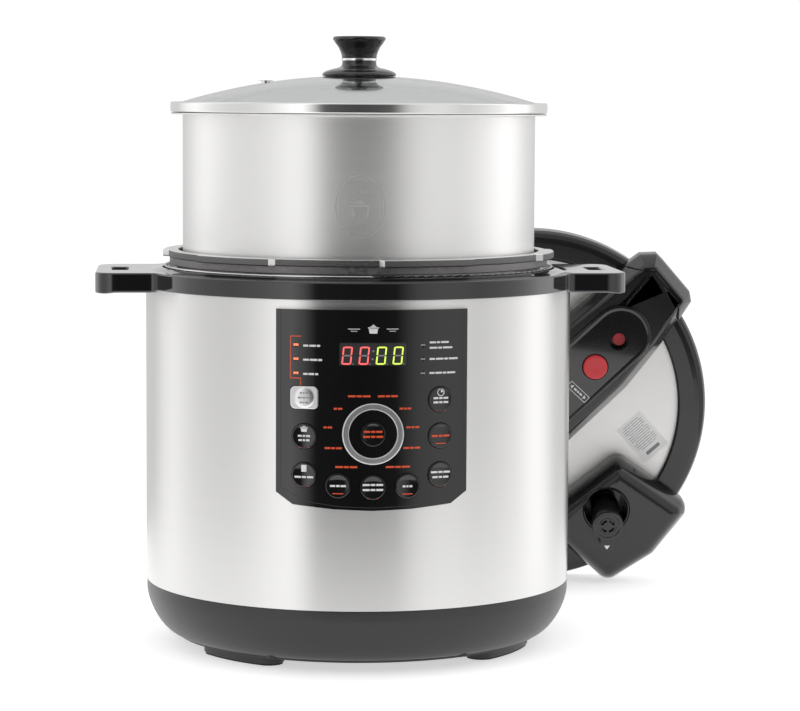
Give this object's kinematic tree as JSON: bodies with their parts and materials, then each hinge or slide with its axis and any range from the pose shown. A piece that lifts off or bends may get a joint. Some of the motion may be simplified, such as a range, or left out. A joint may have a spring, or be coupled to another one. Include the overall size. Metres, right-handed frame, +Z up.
{
  "type": "electric pressure cooker",
  "caption": "Round countertop pressure cooker with side handles and button panel; pot with glass lid lifted out, bayonet pressure lid standing behind.",
  "frame": {"origin": "on the cooker's axis, in the plane of its feet", "axes": "+Z up along the cooker's axis, -Y towards the control panel, +X towards the right handle as seen from the front"},
  "size_m": [0.5453, 0.4805, 0.4872],
  "materials": {
    "base_plastic": "satin",
    "pad_rubber": "matt",
    "shell_steel": "fine vertical brushing",
    "collar_plastic": "high gloss",
    "flange_cast": "grainy as cast",
    "liner_steel": "satin",
    "shield_steel": "bright",
    "plate_aluminium": "cast, machined face",
    "element_steel": "dull",
    "zinc_steel": "zinc plated",
    "switch_plastic": "matt",
    "board_green": "solder mask",
    "panel_plastic": "high gloss",
    "window_smoke": "smoked gloss",
    "trim_silver": "satin silver",
    "inlet_plastic": "matt",
    "wire_skin": "soft",
    "sensor_aluminium": "turned",
    "cup_clear": "clear",
    "button_black": "gloss",
    "button_silver": "satin silver",
    "pot_steel": "fine brushing",
    "dome_glass": "clear",
    "rim_steel": "polished",
    "washer_clear": "clear",
    "knob_black": "gloss",
    "chrome": "chrome",
    "lid_steel": "satin",
    "lid_plastic": "satin",
    "cover_plastic": "gloss",
    "gasket_silicone": "translucent",
    "red_plastic": "gloss"
  },
  "bodies": {
    "base": {"base_pan": "base_plastic", "foot_pads": "pad_rubber", "outer_shell": "shell_steel", "collar": "collar_plastic", "bayonet_flange": "flange_cast", "liner_can": "liner_steel", "heat_shield": "shield_steel", "heating_plate": "plate_aluminium", "heating_element": "element_steel", "liner_sleeve": "zinc_steel", "sleeve_nut": "zinc_steel", "spring_plate": "zinc_steel", "pressure_switch": "switch_plastic", "thermal_fuse": "washer_clear", "power_board": "board_green", "control_board": "board_green", "display_module": "switch_plastic", "control_panel": "panel_plastic", "display_window": "window_smoke", "menu_ring": "trim_silver", "power_inlet": "inlet_plastic", "wire_harness": "wire_skin", "base_screws": "zinc_steel"},
    "temperature_sensor": {"temperature_sensor": "sensor_aluminium", "sensor_spring": "zinc_steel"},
    "condensation_cup": {"condensation_cup": "cup_clear"},
    "mode_button": {"mode_button": "button_silver"},
    "slow_cook_button": {"slow_cook_button": "button_black"},
    "yogurt_button": {"yogurt_button": "button_black"},
    "hour_button": {"hour_button": "button_black"},
    "cook_time_button": {"cook_time_button": "button_black"},
    "minute_button": {"minute_button": "button_black"},
    "timer_button": {"timer_button": "button_black"},
    "start_button": {"start_button": "button_black"},
    "keep_warm_button": {"keep_warm_button": "button_black"},
    "menu_button": {"menu_button": "button_black"},
    "cooking_pot": {"inner_pot": "pot_steel"},
    "glass_lid": {"glass_dome": "dome_glass", "glass_rim": "rim_steel", "vent_eyelet": "rim_steel", "knob_washer": "washer_clear", "knob_screw": "zinc_steel", "knob_skirt": "knob_black", "knob_ring": "chrome", "lid_knob": "knob_black"},
    "pressure_lid": {"lid_shell": "lid_steel", "lid_ring": "lid_plastic", "lid_handle": "lid_plastic", "handle_cover": "cover_plastic", "valve_housing": "lid_plastic", "sealing_gasket": "gasket_silicone", "gasket_plate": "plate_aluminium", "exhaust_pipe": "zinc_steel", "anti_block_cap": "zinc_steel", "lid_screws": "zinc_steel"},
    "float_pin": {"float_pin": "red_plastic"},
    "lid_button": {"lid_button": "red_plastic"},
    "valve_weight": {"valve_weight": "zinc_steel"},
    "valve_cap": {"valve_cap": "lid_plastic"}
  },
  "joints": [
    {"name": "mode_press", "type": "slide", "parent": "base", "child": "mode_button", "axis": [0.294, 0.9558, 0], "range_m": [0, 0.0012], "stiffness_N_per_m": 900},
    {"name": "slow_cook_press", "type": "slide", "parent": "base", "child": "slow_cook_button", "axis": [0.294, 0.9558, 0], "range_m": [0, 0.0012], "stiffness_N_per_m": 900},
    {"name": "yogurt_press", "type": "slide", "parent": "base", "child": "yogurt_button", "axis": [0.294, 0.9558, 0], "range_m": [0, 0.0012], "stiffness_N_per_m": 900},
    {"name": "hour_press", "type": "slide", "parent": "base", "child": "hour_button", "axis": [0.1495, 0.9888, 0], "range_m": [0, 0.0012], "stiffness_N_per_m": 900},
    {"name": "cook_time_press", "type": "slide", "parent": "base", "child": "cook_time_button", "axis": [0, 1, 0], "range_m": [0, 0.0012], "stiffness_N_per_m": 900},
    {"name": "minute_press", "type": "slide", "parent": "base", "child": "minute_button", "axis": [-0.1495, 0.9888, 0], "range_m": [0, 0.0012], "stiffness_N_per_m": 900},
    {"name": "timer_press", "type": "slide", "parent": "base", "child": "timer_button", "axis": [-0.294, 0.9558, 0], "range_m": [0, 0.0012], "stiffness_N_per_m": 900},
    {"name": "start_press", "type": "slide", "parent": "base", "child": "start_button", "axis": [-0.294, 0.9558, 0], "range_m": [0, 0.0012], "stiffness_N_per_m": 900},
    {"name": "keep_warm_press", "type": "slide", "parent": "base", "child": "keep_warm_button", "axis": [-0.294, 0.9558, 0], "range_m": [0, 0.0012], "stiffness_N_per_m": 900},
    {"name": "menu_press", "type": "slide", "parent": "base", "child": "menu_button", "axis": [0, 1, 0], "range_m": [0, 0.0012], "stiffness_N_per_m": 900},
    {"name": "sensor_press", "type": "slide", "parent": "base", "child": "temperature_sensor", "axis": [0, 0, -1], "range_m": [0, 0.003], "stiffness_N_per_m": 400, "springref_m": -0.004, "deforming": ["sensor_spring"]},
    {"name": "cup_pull", "type": "slide", "parent": "base", "child": "condensation_cup", "axis": [0, 1, 0], "range_m": [0, 0.03]},
    {"name": "pot_lift", "type": "slide", "parent": "base", "child": "cooking_pot", "axis": [0, 0, 1], "range_m": [-0.1075, 0.1]},
    {"name": "glass_lid_lift", "type": "slide", "parent": "cooking_pot", "child": "glass_lid", "axis": [0, 0, 1], "range_m": [0, 0.12]},
    {"name": "pressure_lid_lift", "type": "slide", "parent": "base", "child": "pressure_lid", "axis": [0, 0, 1], "range_m": [0, 0.2]},
    {"name": "float_pin_rise", "type": "slide", "parent": "pressure_lid", "child": "float_pin", "axis": [-0.073, -0.9935, -0.0872], "range_m": [0, 0.008]},
    {"name": "lid_button_press", "type": "slide", "parent": "pressure_lid", "child": "lid_button", "axis": [0.073, 0.9935, 0.0872], "range_m": [0, 0.003], "stiffness_N_per_m": 700},
    {"name": "valve_rock", "type": "hinge", "parent": "pressure_lid", "child": "valve_weight", "pos_m": [0.2416, 0.24969, 0.07087], "axis": [0.9973, -0.0732, 0], "range_deg": [-13, 0]},
    {"name": "valve_turn", "type": "hinge", "parent": "valve_weight", "child": "valve_cap", "pos_m": [0.2416, 0.24969, 0.07087], "axis": [-0.0697, -0.9485, -0.309], "range_deg": [-30, 30]}
  ]
}
